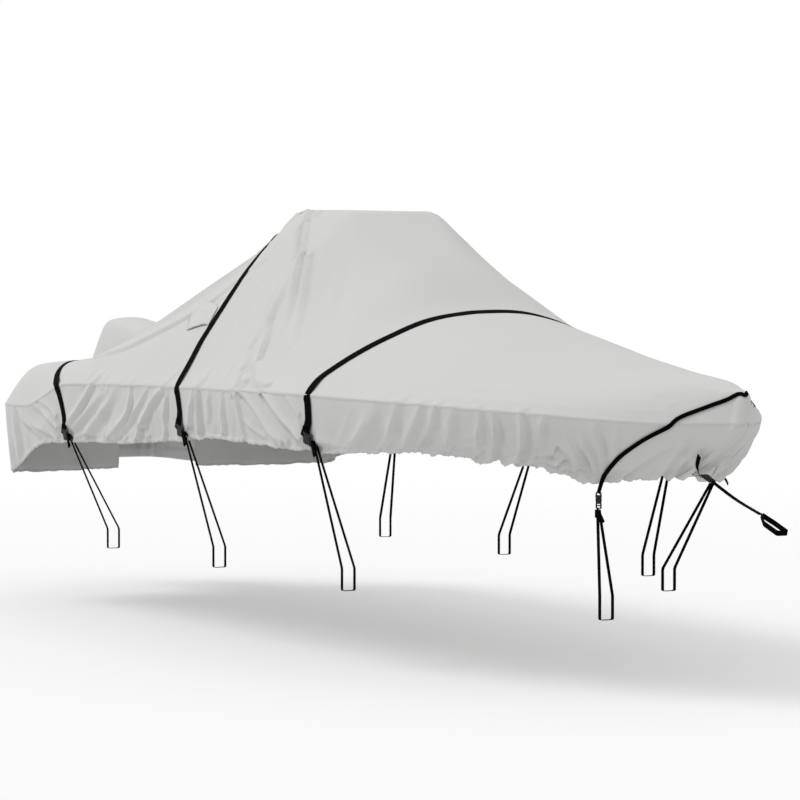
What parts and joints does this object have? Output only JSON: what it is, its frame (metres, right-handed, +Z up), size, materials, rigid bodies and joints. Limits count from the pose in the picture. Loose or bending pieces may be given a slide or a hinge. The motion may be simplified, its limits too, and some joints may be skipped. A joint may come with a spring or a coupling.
{
  "type": "fitted boat cover",
  "caption": "Taut grey fitted cover for an open console boat, with a raised peak, pleated skirt, motor hood, side vent and black buckled tie-down straps.",
  "frame": {"origin": "middle of the flat peak, on the underside of the cloth, where the hidden console carries it", "axes": "+X to the bow end, +Y to port, +Z up"},
  "size_m": [7.0618, 2.1285, 1.8465],
  "materials": {
    "cloth": "matt light grey coated woven polyester",
    "webbing": "black woven flat webbing, slight sheen",
    "buckle_plastic": "black moulded plastic, satin"
  },
  "bodies": {
    "root": {"top_panel": "cloth", "aft_panel": "cloth", "skirt_starboard": "cloth", "skirt_port": "cloth", "hood_crown": "cloth", "hood_band": "cloth", "vent_hood": "cloth", "strap_1": "webbing", "strap_2": "webbing", "strap_3": "webbing", "strap_4": "webbing", "loop_1_starboard": "webbing", "loop_1_port": "webbing", "loop_2_starboard": "webbing", "loop_2_port": "webbing", "loop_3_starboard": "webbing", "loop_3_port": "webbing", "loop_4_starboard": "webbing", "loop_4_port": "webbing", "tail_1_starboard": "webbing", "tail_1_port": "webbing", "tail_2_starboard": "webbing", "tail_2_port": "webbing", "tail_3_starboard": "webbing", "tail_3_port": "webbing", "tail_4_starboard": "webbing", "tail_4_port": "webbing", "bow_tab": "webbing", "bow_strap": "webbing", "bow_tail": "webbing", "bow_loop": "webbing", "buckle_1_starboard": "buckle_plastic", "buckle_1_port": "buckle_plastic", "buckle_2_starboard": "buckle_plastic", "buckle_2_port": "buckle_plastic", "buckle_3_starboard": "buckle_plastic", "buckle_3_port": "buckle_plastic", "buckle_4_starboard": "buckle_plastic", "buckle_4_port": "buckle_plastic", "bow_buckle": "buckle_plastic"}
  },
  "joints": []
}
